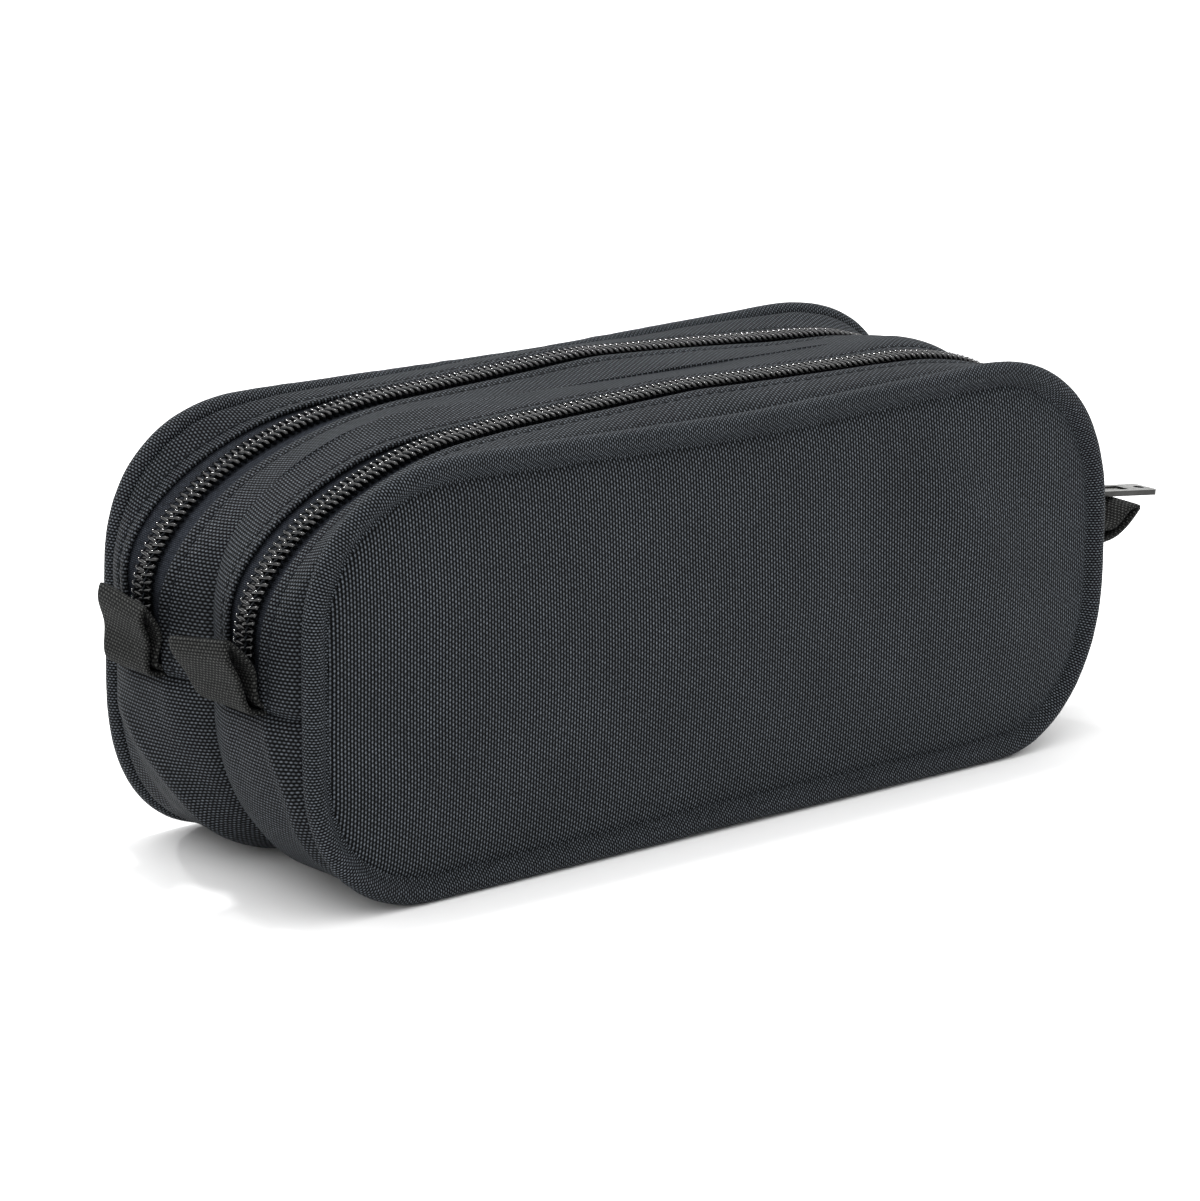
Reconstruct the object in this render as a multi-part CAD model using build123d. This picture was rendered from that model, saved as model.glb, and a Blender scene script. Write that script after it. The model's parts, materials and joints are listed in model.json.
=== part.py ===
"""Two-compartment soft zip bag, standing on its base.

Frame: millimetres, X along the bag, Y from the front panel to the back panel, Z up.
The origin is the middle of the base, on the surface that the bag stands on.
The bag is two mirrored halves joined at a divider. Each half is a panel, a piped seam, a lower
gusset, and a zip between two fabric strips that closes the top and the upper part of both ends.
"""
from dataclasses import dataclass
from math import asin, cos, degrees, radians, sin
import os

from build123d import *

# ---- driving dimensions ----
DEPTH = 70.2                # front bead to back bead
PIPED_LENGTH = 210.6        # over the piping
PIPED_HEIGHT = 85.6
PIPED_CORNER = 28.6
BAND_LENGTH = 214.0         # over the gusset ends, which bulge a little past the piping
BAND_HEIGHT = 86.0          # the zip strips crown a little above the piping
BAND_TOP_CORNER = 46.0      # the path that the zips take round the top corners
BAND_BOTTOM_CORNER = 29.0
SEAM_HEIGHT = 40.0          # where the strips meet the lower gusset at both ends

FABRIC = 1.0                # one layer of lined cloth
SEAM_ALLOWANCE = 12.0       # how far the piped seam's layers reach in from the edge
DIVIDER_ALLOWANCE = 9.0
BINDING = 0.6               # binding tape over the raw seam edge
BINDING_LEG = 4.0

BEAD_DIAMETER = 4.2         # piping over its cord
CORD_DIAMETER = 2.4

ZIP_OFFSET = 16.0           # zip centre line from the divider
ZIP_SLOT = 9.6              # between the folded edges of the two strips
TAPE = 0.6
TAPE_REACH = 12.0           # tape's outer edge from the zip centre line
COIL_GAP = 1.4              # between the two coil rows, where the slider's neck runs
COIL_WIDTH = 6.0            # over both rows
COIL_PROUD = 1.0            # coil crown above the strips
COIL_START = 4.0            # where the rows begin above the end seam, clear of the tab's root

SLIDER_HEIGHT = 49.0        # where the closed slider stops, above the end seam and its tab
SLIDER_LENGTH = 12.0
SLIDER_WIDTH = 8.8
PLATE = 1.2
COIL_CLEARANCE = 0.35       # outer plate above the coil, lips above the tape
TAPE_CLEARANCE = 0.85       # inner plate below the tape, enough for the corner's curve
LIP = 0.8
NECK = 0.8
NECK_LENGTH = 4.0
BRIDGE_LENGTH = 9.6
BRIDGE_WIDTH = 2.0
BRIDGE_WINDOW = (6.4, 2.2)  # length and height of the eye that the puller's crossbar sits in
BRIDGE_THICKNESS = 1.2
BRIDGE_ROUND = 2.6

PULLER_LENGTH = 26.1        # crossbar axis to tip
PULLER_WIDTH = 7.0
PULLER_THICKNESS = 1.2
PULLER_HEAD = 5.4           # crossbar axis to the far end of the head's window
PULLER_HEAD_WIDTH = 5.2
PULLER_SIDE_GAP = 0.3       # head window beside the bridge
PULLER_CORNER = 1.2
PULLER_HOLE_RADIUS = 1.2
PULLER_HOLE_TO_TIP = 2.7
PULLER_PANEL = (11.0, 3.8, 0.3)     # sunk panel on each face: length, width, depth
PULLER_PANEL_START = 7.4
PULLER_DROOP = 6.6          # degrees below level, resting on the webbing tab
CROSSBAR_DIAMETER = 1.4
CROSSBAR_CLEARANCE = 0.35

WEBBING = 1.0               # one layer of the tabs
WEBBING_WIDTH = 19.5
TAB_TAIL = 7.0              # sewn into the end seam
TAB_ROOT_GAP = 1.1          # loop's root outside the gusset

# Loop void of each tab in the XZ plane: tip, and bulge of its outer and inner layer.
LEFT_TAB_TIP = (-115.6, 55.0)
LEFT_TAB_BULGE = (2.0, 0.7)
RIGHT_TAB_TIP = (122.8, 46.5)
RIGHT_TAB_BULGE = (2.6, 0.4)


@dataclass
class Outline:
    """A rounded rectangle standing on z = 0, which can be inset."""

    length: float
    height: float
    top_corner: float
    bottom_corner: float

    def face(self, inset=0.0):
        low, high = inset, self.height - inset
        face = Pos(0, (low + high) / 2) * Rectangle(self.length - 2 * inset, high - low)
        face = fillet(face.vertices().group_by(Axis.Y)[-1], self.top_corner - inset)
        return fillet(face.vertices().group_by(Axis.Y)[0], self.bottom_corner - inset)


PIPED = Outline(PIPED_LENGTH, PIPED_HEIGHT, PIPED_CORNER, PIPED_CORNER)
BAND = Outline(BAND_LENGTH, BAND_HEIGHT, BAND_TOP_CORNER, BAND_BOTTOM_CORNER)

# Layers of the front seam, counted back from the front bead.
FRONT = -DEPTH / 2
PANEL_FACE = FRONT + (BEAD_DIAMETER - FABRIC) / 2
PANEL_FLANGE = PANEL_FACE + FABRIC
PIPING_FLANGE = PANEL_FLANGE + FABRIC
GUSSET_EDGE = PIPING_FLANGE + FABRIC
BINDING_FACE = GUSSET_EDGE + FABRIC
DIVIDER_FACE = -FABRIC / 2

# The slider turns about the centre of the top corner; closed, it has begun to climb the arc.
CORNER_X = BAND_LENGTH / 2 - BAND_TOP_CORNER
CORNER_Z = BAND_HEIGHT - BAND_TOP_CORNER
SLIDER_TILT = degrees(asin((SLIDER_HEIGHT - CORNER_Z) / BAND_TOP_CORNER))
END_X = BAND_LENGTH / 2


def prism(face, y_front, y_back):
    """A face drawn in X and Z, made solid from y_front to y_back."""
    return extrude(Plane.XZ.offset(-y_back) * face, amount=y_back - y_front)


def ring(outline, inset_outer, inset_inner, y_front, y_back):
    """The band between two insets of an outline."""
    return prism(outline.face(inset_outer) - outline.face(inset_inner), y_front, y_back)


def box(x, y, z):
    """A box from three (low, high) pairs."""
    size = [high - low for low, high in (x, y, z)]
    centre = [(low + high) / 2 for low, high in (x, y, z)]
    return Pos(*centre) * Box(*size)


BIG = 2 * BAND_LENGTH


def above(z):
    """The half space above a height, as a box larger than the bag."""
    return box((-BIG, BIG), (-BIG, BIG), (z, BIG))


def single(shape):
    """The one solid of a shape."""
    solids = shape.solids()
    assert len(solids) == 1, f"{len(solids)} solids"
    return solids[0]


# ---- the front half ----
def front_panel():
    plate = prism(PIPED.face(BEAD_DIAMETER), PANEL_FACE, PANEL_FLANGE)
    flange = ring(PIPED, BEAD_DIAMETER, SEAM_ALLOWANCE, PANEL_FLANGE, PIPING_FLANGE)
    return plate + flange


def bead(diameter):
    """A tube of the piping's path, made of straight runs and quarter rings."""
    centre = BEAD_DIAMETER / 2
    path = PIPED.face(centre).faces()[0].outer_wire()
    path = Plane.XZ.offset(-FRONT - centre) * path
    section = Plane(path @ 0, z_dir=path % 0) * Circle(diameter / 2)
    return sweep(section, path=path)


def piping_cover():
    flange = ring(PIPED, BEAD_DIAMETER / 2, SEAM_ALLOWANCE, PIPING_FLANGE, GUSSET_EDGE)
    return bead(BEAD_DIAMETER) - bead(CORD_DIAMETER) + flange


def piping_cord():
    return bead(CORD_DIAMETER)


def front_flange():
    """The band's own seam allowance, behind the piping."""
    outer = BAND.face(0)
    return prism(outer - PIPED.face(SEAM_ALLOWANCE), GUSSET_EDGE, BINDING_FACE)


def divider_flange():
    return ring(BAND, 0, DIVIDER_ALLOWANCE, DIVIDER_FACE - FABRIC, DIVIDER_FACE)


def band(y_front, y_back):
    return ring(BAND, 0, FABRIC, y_front, y_back)


def lower_gusset():
    whole = band(GUSSET_EDGE, DIVIDER_FACE) + front_flange() + divider_flange()
    return whole - above(SEAM_HEIGHT)


def outer_strip():
    edge = -ZIP_OFFSET - ZIP_SLOT / 2
    return ((band(GUSSET_EDGE, edge) + front_flange()) & above(SEAM_HEIGHT)) - tab_tails()


def inner_strip():
    edge = -ZIP_OFFSET + ZIP_SLOT / 2
    return ((band(edge, DIVIDER_FACE) + divider_flange()) & above(SEAM_HEIGHT)) - tab_tails()


def stringer_tape(side):
    """Zip tape under one strip; side is -1 towards the panel and +1 towards the divider."""
    near, far = sorted((-ZIP_OFFSET + side * COIL_GAP / 2, -ZIP_OFFSET + side * TAPE_REACH))
    tape = ring(BAND, FABRIC, FABRIC + TAPE, near, far)
    return (tape & above(SEAM_HEIGHT)) - tab_tails()


def stringer_coil(side):
    """Envelope of one row of the nylon coil, on the tape's outer face."""
    near, far = sorted((-ZIP_OFFSET + side * COIL_GAP / 2, -ZIP_OFFSET + side * COIL_WIDTH / 2))
    row = ring(BAND, -COIL_PROUD, FABRIC, near, far)
    return row & above(SEAM_HEIGHT + COIL_START)


def seam_binding():
    face = ring(PIPED, SEAM_ALLOWANCE - BINDING_LEG, SEAM_ALLOWANCE + BINDING,
                BINDING_FACE, BINDING_FACE + BINDING)
    edge = ring(PIPED, SEAM_ALLOWANCE, SEAM_ALLOWANCE + BINDING, PANEL_FLANGE, BINDING_FACE)
    return face + edge


# ---- webbing tabs ----
def tail(side):
    """The tab's two sewn-in layers at the left (-1) or right (+1) end."""
    ends = (side * (END_X - TAB_TAIL), side * (END_X + TAB_ROOT_GAP))
    return box(sorted(ends),
               (-ZIP_OFFSET - WEBBING_WIDTH / 2, -ZIP_OFFSET + WEBBING_WIDTH / 2),
               (SEAM_HEIGHT, SEAM_HEIGHT + 2 * WEBBING))


def tab_tails():
    return tail(-1) + tail(1)


def tab(side, tip, bulge):
    """A folded webbing loop: one layer thick round a slim void, with its tails in the seam."""
    root = Vector(side * (END_X + TAB_ROOT_GAP), SEAM_HEIGHT + WEBBING)
    top = Vector(*tip)
    along = (top - root).normalized()
    outward = Vector(along.Y, -along.X) * side
    middle = (root + top) / 2
    outer_layer = ThreePointArc(root, middle + outward * bulge[0], top)
    inner_layer = ThreePointArc(top, middle - outward * bulge[1], root)
    void = make_face([outer_layer, inner_layer])
    loop = offset(void, amount=WEBBING) - void
    half = WEBBING_WIDTH / 2
    return prism(loop, -ZIP_OFFSET - half, -ZIP_OFFSET + half) + tail(side)


# ---- slider and puller, drawn level with the corner's centre: X outward, Z along the zip ----
COIL_CROWN = END_X + COIL_PROUD
OUTER_PLATE_X = COIL_CROWN + COIL_CLEARANCE
BRIDGE_X = OUTER_PLATE_X + PLATE
LIP_X = END_X - FABRIC + COIL_CLEARANCE
INNER_PLATE_X = END_X - FABRIC - TAPE - TAPE_CLEARANCE
PIVOT_REACH = BRIDGE_X + CROSSBAR_CLEARANCE + CROSSBAR_DIAMETER / 2 - CORNER_X
PIVOT_X = CORNER_X + PIVOT_REACH * cos(radians(SLIDER_TILT))
PIVOT_Z = CORNER_Z + PIVOT_REACH * sin(radians(SLIDER_TILT))


def across(half_width):
    """The Y range of a piece centred on the front zip."""
    return (-ZIP_OFFSET - half_width, -ZIP_OFFSET + half_width)


def bridge():
    window_length, window_height = BRIDGE_WINDOW
    height = window_height + BRIDGE_THICKNESS
    block = Pos(BRIDGE_X + height / 2, CORNER_Z) * Rectangle(height, BRIDGE_LENGTH)
    block = fillet(block.vertices().group_by(Axis.X)[-1], BRIDGE_ROUND)
    window = Pos(BRIDGE_X + window_height / 2, CORNER_Z) * Rectangle(window_height, window_length)
    window = fillet(window.vertices().group_by(Axis.X)[-1], window_height / 2.2)
    return prism(block - window, *across(BRIDGE_WIDTH / 2))


def slider():
    along = (CORNER_Z - SLIDER_LENGTH / 2, CORNER_Z + SLIDER_LENGTH / 2)
    outer = box((OUTER_PLATE_X, BRIDGE_X), across(SLIDER_WIDTH / 2), along)
    inner = box((INNER_PLATE_X - PLATE, INNER_PLATE_X), across(SLIDER_WIDTH / 2), along)
    plates = outer + inner
    plates = fillet(plates.edges().filter_by(Axis.X), 2.5 * LIP)
    lips = box((LIP_X, OUTER_PLATE_X), across(SLIDER_WIDTH / 2), along)
    lips -= box((LIP_X, OUTER_PLATE_X), across(SLIDER_WIDTH / 2 - LIP), along)
    lips &= extrude_outline(outer, LIP_X)
    neck = box((INNER_PLATE_X, OUTER_PLATE_X), across(NECK / 2),
               (along[0] + PLATE, along[0] + PLATE + NECK_LENGTH))
    centre = Pos(CORNER_X, 0, CORNER_Z)
    return centre * Rot(0, -SLIDER_TILT, 0) * centre.inverse() * (plates + lips + neck + bridge())


def extrude_outline(plate, x_low):
    """The rounded outline of the outer plate, carried down to x_low."""
    rounded = fillet(plate.edges().filter_by(Axis.X), 2.5 * LIP)
    face = rounded.faces().sort_by(Axis.X)[0]
    return extrude(face, amount=face.center().X - x_low)


def puller():
    """The pull, drawn level along +X from its crossbar, then drooped onto the tab."""
    half_bar = CROSSBAR_DIAMETER / 2
    centre = Pos(PIVOT_X, -ZIP_OFFSET, PIVOT_Z)
    half_thick = PULLER_THICKNESS / 2
    head = box((0, PULLER_HEAD + 1), (-PULLER_HEAD_WIDTH / 2, PULLER_HEAD_WIDTH / 2),
               (-half_thick, half_thick))
    window_half = BRIDGE_WIDTH / 2 + PULLER_SIDE_GAP
    head -= box((0, PULLER_HEAD), (-window_half, window_half), (-half_thick, half_thick))
    bar = Rot(90, 0, 0) * Cylinder(half_bar, PULLER_HEAD_WIDTH)
    blade = box((PULLER_HEAD, PULLER_LENGTH), (-PULLER_WIDTH / 2, PULLER_WIDTH / 2),
                (-half_thick, half_thick))
    blade = fillet(blade.edges().filter_by(Axis.Z), PULLER_CORNER)
    hole = Pos(PULLER_LENGTH - PULLER_HOLE_TO_TIP, 0) * Cylinder(PULLER_HOLE_RADIUS,
                                                                 2 * PULLER_THICKNESS)
    length, width, depth = PULLER_PANEL
    start = PULLER_PANEL_START
    panels = [box((start, start + length), (-width / 2, width / 2), (low, low + depth))
              for low in (-half_thick, half_thick - depth)]
    pull = head + bar + blade - hole - panels
    return centre * Rot(0, PULLER_DROOP, 0) * pull


# ---- assembly ----
def front_half():
    """Every piece of the front half, by the rest of its name."""
    return {
        "panel": front_panel(),
        "piping_cover": piping_cover(),
        "piping_cord": piping_cord(),
        "seam_binding": seam_binding(),
        "lower_gusset": lower_gusset(),
        "zip_outer_strip": outer_strip(),
        "zip_inner_strip": inner_strip(),
        "zip_outer_tape": stringer_tape(-1),
        "zip_inner_tape": stringer_tape(1),
        "zip_outer_coil": stringer_coil(-1),
        "zip_inner_coil": stringer_coil(1),
        "left_tab": tab(-1, LEFT_TAB_TIP, LEFT_TAB_BULGE),
        "right_tab": tab(1, RIGHT_TAB_TIP, RIGHT_TAB_BULGE),
        "slider": slider(),
        "puller": puller(),
    }


def main():
    os.makedirs("parts", exist_ok=True)
    nodes = {"divider": prism(BAND.face(), DIVIDER_FACE, -DIVIDER_FACE)}
    for name, shape in front_half().items():
        nodes["front_" + name] = shape
        nodes["back_" + name] = mirror(shape, about=Plane.XZ)
    for name, shape in nodes.items():
        export_step(single(shape), f"parts/{name}.step")
    print(f"slider hinge ({CORNER_X:.2f}, {-ZIP_OFFSET}, {CORNER_Z:.2f})")
    print(f"slider travel 0 to {90 - SLIDER_TILT:.2f} degrees")
    print(f"puller hinge ({PIVOT_X:.3f}, {-ZIP_OFFSET}, {PIVOT_Z:.3f})")
    reach = PULLER_LENGTH - PULLER_HOLE_TO_TIP
    droop = radians(PULLER_DROOP)
    print(f"puller hole ({PIVOT_X + reach * cos(droop):.3f}, {-ZIP_OFFSET}, "
          f"{PIVOT_Z - reach * sin(droop):.3f}), axis ({sin(droop):.5f}, 0, {cos(droop):.5f})")


main()
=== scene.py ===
"""Looks of the two-compartment zip bag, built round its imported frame.

Shapes are worked out in millimetres in the row frame and written to Blender in metres. Each half of the
bag is drawn by its distance from the divider: 0 is the divider, and the front half lies at -Y.
The band round the bag is lofted between closed lines ("rings") in X and Z: the piping's centre line, the
zip's line and the valley over the divider. Every ring has the same number of points, from the left end
seam over the top, down the right end and back under the base.
"""
import json

import bmesh
import bpy
import numpy as np
from mathutils import Matrix, Vector


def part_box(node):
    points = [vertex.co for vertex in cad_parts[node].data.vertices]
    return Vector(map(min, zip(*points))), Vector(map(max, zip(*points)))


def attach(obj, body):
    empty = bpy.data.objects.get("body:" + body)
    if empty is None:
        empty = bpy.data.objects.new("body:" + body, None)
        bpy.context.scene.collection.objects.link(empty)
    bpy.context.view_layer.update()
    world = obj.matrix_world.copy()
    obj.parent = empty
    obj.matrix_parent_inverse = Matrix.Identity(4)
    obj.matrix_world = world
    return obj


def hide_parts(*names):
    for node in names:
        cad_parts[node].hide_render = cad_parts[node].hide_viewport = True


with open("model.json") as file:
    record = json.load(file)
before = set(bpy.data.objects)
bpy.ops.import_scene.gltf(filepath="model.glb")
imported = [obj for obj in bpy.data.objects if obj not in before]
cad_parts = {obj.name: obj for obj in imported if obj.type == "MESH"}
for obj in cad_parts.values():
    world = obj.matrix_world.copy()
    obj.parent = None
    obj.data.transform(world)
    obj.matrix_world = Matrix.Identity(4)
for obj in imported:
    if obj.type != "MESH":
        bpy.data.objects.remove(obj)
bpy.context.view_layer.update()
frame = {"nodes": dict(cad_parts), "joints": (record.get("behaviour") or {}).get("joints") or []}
MM = 0.001


# ---- sizes read from the frame, in millimetres ----
def spans(node):
    """The X, Y and Z ranges of a CAD node."""
    low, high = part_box(node)
    return [(a / MM, b / MM) for a, b in zip(low, high)]


def hinge(joint):
    """Where a joint's axis stands."""
    found = [j for j in frame["joints"] if j["name"] == joint][0]
    return np.array(found["pos_m"]) / MM


PIPING_X, PIPING_Y, PIPING_Z = spans("front_piping_cover")
CORD_Y = spans("front_piping_cord")[1]
STRIP_X, STRIP_Y, STRIP_Z = spans("front_zip_outer_strip")
INNER_STRIP_Y = spans("front_zip_inner_strip")[1]
COIL_Y = spans("front_zip_outer_coil")[1]
COIL_Z = spans("front_zip_outer_coil")[2]
TAPE_Y = spans("front_zip_outer_tape")[1]
TAPE_Z = spans("front_zip_outer_tape")[2]
SEAM_Z = spans("front_lower_gusset")[2][1]
ZIP_D = -hinge("front_slider_travel")[1]
CORNER_X = hinge("front_slider_travel")[0]

CORD = CORD_Y[1] - CORD_Y[0]
BEAD = (spans("front_piping_cord")[2][0] - PIPING_Z[0]) * 2 + CORD      # the covered cord's diameter
BEAD_D = -PIPING_Y[0] - BEAD / 2            # piping's centre line, from the divider
DITCH_D = BEAD_D - 0.35 * BEAD              # where the band comes out of the piped seam
OUTER_FOLD_D = -STRIP_Y[1]
INNER_FOLD_D = -INNER_STRIP_Y[0]
COIL_HALF = -COIL_Y[0] - ZIP_D
COIL_CROWN = COIL_Z[1] - STRIP_Z[1]
TAPE_DEPTH = STRIP_Z[1] - TAPE_Z[1]
TAPE_REACH = -TAPE_Y[0] - ZIP_D
CLOTH = TAPE_DEPTH                          # the strips' thickness: the tape lies right under them
WEBBING = 1.0
END_X = STRIP_X[1]
BAND_TOP = STRIP_Z[1]
ZIP_RADIUS = END_X - CORNER_X               # the slider turns on this arc

SIDES = {"front": -1, "back": 1}            # which way along Y each half lies
QUARTER = 130                               # points on each quarter of a ring
RING = 4 * QUARTER
CORNER_POINTS = 90                          # points round a corner, before they are spaced evenly
SMOOTHING = 6                               # passes that take the kinks out of a ring


# ---- rings ----
def quarter(end_x, end_z, radius_x, radius_z, power):
    """From the end seam to the middle of the top or base, round a superellipse corner."""
    turn = np.linspace(0, np.pi / 2, CORNER_POINTS)
    out, up = np.sign(end_x), np.sign(end_z - SEAM_Z)
    x = end_x - out * radius_x * (1 - np.cos(turn) ** (2 / power))
    z = end_z - up * radius_z * (1 - np.sin(turn) ** (2 / power))
    line = np.stack([x, z], 1)
    return np.vstack([[end_x, SEAM_Z], line, [0, end_z]])


def along(line):
    """Distance along a line to each of its points."""
    return np.r_[0, np.cumsum(np.linalg.norm(np.diff(line, axis=0), axis=1))]


def resampled(line, share):
    """Points of a line at shares of its length."""
    travel = along(line)
    return np.stack([np.interp(share * travel[-1], travel, column) for column in line.T], 1)


def evenly(line, count):
    """count points at equal steps along a line, without its last point."""
    travel = along(line)
    steps = np.linspace(0, travel[-1], count, endpoint=False)
    return np.stack([np.interp(steps, travel, column) for column in line.T], 1)


def hill(value, centre, spread):
    """1 at the centre, falling to 0 in a bell shape."""
    return np.exp(-((value - centre) / spread) ** 2)


def softened(line, passes):
    """A closed line with its kinks smoothed."""
    for _ in range(passes):
        line = (np.roll(line, 1, 0) + 2 * line + np.roll(line, -1, 0)) / 4
    return line


def ring(left, right, low, high, top_left, top_right, base_right, base_left, shape=None):
    """A closed line; each corner is (radius_x, radius_z, power), and shape bends it afterwards."""
    quarters = [quarter(left, high, *top_left),
                quarter(right, high, *top_right)[::-1],
                quarter(right, low, *base_right),
                quarter(left, low, *base_left)[::-1]]
    if shape:
        quarters = [shape(q.copy()) for q in quarters]
    return softened(np.vstack([evenly(q, QUARTER) for q in quarters]), SMOOTHING)


def normals(line):
    """Outward unit normals of a closed line."""
    step = np.roll(line, -1, 0) - np.roll(line, 1, 0)
    step /= np.linalg.norm(step, axis=1)[:, None]
    return np.stack([-step[:, 1], step[:, 0]], 1)


LATTICE = 64                                # the noise repeats after this many units
SEEDS = {"outer": 11, "inner": 31, "gusset": 51, "panel": 71}


def seed_of(piece, side):
    """The two halves of a piece have ripples of their own."""
    return SEEDS[piece] + SIDES[side]


def noise(x, y, seed):
    """Smooth random hills and dips between -1 and 1, one unit apart."""
    lattice = np.random.default_rng(seed).uniform(-1, 1, (LATTICE, LATTICE))
    x, y = np.broadcast_arrays(np.asarray(x, float), np.asarray(y, float))
    column, row = np.floor(x).astype(int), np.floor(y).astype(int)
    s, t = x - column, y - row
    s, t = s * s * (3 - 2 * s), t * t * (3 - 2 * t)
    c0, c1 = column % LATTICE, (column + 1) % LATTICE
    r0, r1 = row % LATTICE, (row + 1) % LATTICE
    return ((lattice[c0, r0] * (1 - s) + lattice[c1, r0] * s) * (1 - t)
            + (lattice[c0, r1] * (1 - s) + lattice[c1, r1] * s) * t)


def crease(p, q, start, end, width, depth):
    """A soft fold from start to end in the plane of p and q, faded towards its ends."""
    (p0, q0), (p1, q1) = start, end
    run = np.hypot(p1 - p0, q1 - q0)
    e = ((p1 - p0) / run, (q1 - q0) / run)
    reach = (p - p0) * e[0] + (q - q0) * e[1]
    away = (q - q0) * e[0] - (p - p0) * e[1]
    fade = 1 / (1 + np.exp(-(run / 2 - np.abs(reach - run / 2)) / (0.12 * run)))
    return depth * fade * np.exp(-(away / width) ** 2)


def plateau(value, low, high, soft):
    """1 between low and high, easing to 0 outside them."""
    return 1 / (1 + np.exp((low - value) / soft)) / (1 + np.exp((value - high) / soft))


# The two halves differ a little, as sewn things do.
LIFT_SPREAD = 26                            # how far the base edge's lift reaches along it
RISE_START, RISE_SOFT = -44, 7              # where the zips' rise along the top begins, and how softly


def piping_shape(top_hills, lift, lift_x):
    """top_hills are (height, centre, spread) of the top edge's rises and sags; lift raises the base edge
    round lift_x."""
    def shape(line):
        x, z = line[:, 0].copy(), line[:, 1].copy()
        for height, centre, spread in top_hills:
            line[:, 1] += np.where(z > SEAM_Z, height * hill(x, centre, spread) * (z / PIPING_Z[1]) ** 4, 0)
        line[:, 1] += np.where(z < SEAM_Z, lift * hill(x, lift_x, LIFT_SPREAD), 0)
        return line
    return shape


def zip_shape(rise, rise_end, waves):
    """The zips stand proud along the top, up to rise_end, and wander up and down: waves are (height,
    centre, spread)."""
    def shape(line):
        x, z = line[:, 0], line[:, 1].copy()
        top = rise * plateau(x, RISE_START, rise_end, RISE_SOFT)
        for height, centre, spread in waves:
            top = top + height * hill(x, centre, spread)
        line[:, 1] += np.where(z > BAND_TOP * 0.7, top, 0)
        return line
    return shape


BEAD_X = PIPING_X[1] - BEAD / 2
BEAD_TOP = PIPING_Z[1] - BEAD / 2
BEAD_LOW = BEAD / 2
ARC = (ZIP_RADIUS, ZIP_RADIUS, 2.0)         # the slider's arc, as a ring's corner
GUSSET_LOW = 0.6                            # the base's height over the floor
RINGS = {
    "front": {
        "piping": ring(-BEAD_X, BEAD_X - 1.4, BEAD_LOW, BEAD_TOP + 0.8, (35, 29, 2.2), (34, 35.5, 2.28),
                       (27.5, 34.5, 2.05), (28, 29, 2.2),
                       piping_shape([(-2.4, 19, 34), (1.0, 54, 11)], 1.8, 33)),
        "zip": ring(-END_X, END_X, GUSSET_LOW, BAND_TOP, (59, 32, 1.85), ARC, (34, 38, 2), (32, 35, 2),
                    zip_shape(3.1, 47, [(-1.4, -49, 12), (0.4, -21, 8), (-1.8, 4, 12), (-0.5, 66, 9)])),
    },
    "back": {
        "piping": ring(-BEAD_X + 0.6, BEAD_X - 0.4, BEAD_LOW, BEAD_TOP + 2.0, (33, 31, 2.4), (32, 35, 2.45),
                       (28, 32, 2.1), (26.5, 31, 2.38),
                       piping_shape([(-0.8, -5, 22), (3.2, 46, 22)], 0.8, 20)),
        "zip": ring(-END_X + 0.4, END_X, GUSSET_LOW, BAND_TOP, (59, 32, 1.9), ARC, (34, 38, 2), (30, 34, 2.1),
                    zip_shape(3.1, 40, [(-1.8, -28, 18), (-0.8, 66, 14)])),
    },
}
SPLAY = {"front": 0.8, "back": 2.0}         # how much further apart the zips run round the left corner
OPENING = {                                 # there, how much wider each strip's fold stands from its zip,
    ("front", 1): (0.3, 0.0),               # and how far it stands proud of it
    ("front", -1): (1.3, 0.6),
    ("back", 1): (1.5, 1.3),
    ("back", -1): (2.6, 0.2),
}
VALLEY = ring(-END_X + 4.4, END_X - 3.5, 2.4, BAND_TOP + 0.8, (48, 33, 2), (40, 42, 2.2),
              (34, 36, 2), (31, 35, 2))
INNER_RISE = {"front": (1.2, 78, 20), "back": (0.6, 74, 20)}    # the inner strips' hump near the right end


# ---- meshes ----
def make(name, verts, faces, uvs, material, slot, nodes=(), body="shell"):
    """A piece from points in millimetres; uvs has one (u, v) in metres for each corner of each face."""
    mesh = bpy.data.meshes.new(name)
    mesh.from_pydata((np.asarray(verts) * MM).tolist(), [], faces)
    layer = mesh.uv_layers.new(name="UVMap")
    layer.data.foreach_set("uv", np.asarray(uvs, np.float32).ravel())
    mesh.shade_smooth()
    mesh.materials.append(material)
    obj = bpy.data.objects.new(name, mesh)
    bpy.context.scene.collection.objects.link(obj)
    fix_normals(mesh)
    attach(obj, body)
    if nodes:
        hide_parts(*nodes)
    return obj


def fix_normals(mesh):
    """Turns every face outwards."""
    work = bmesh.new()
    work.from_mesh(mesh)
    bmesh.ops.recalc_face_normals(work, faces=work.faces)
    work.to_mesh(mesh)
    work.free()


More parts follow.
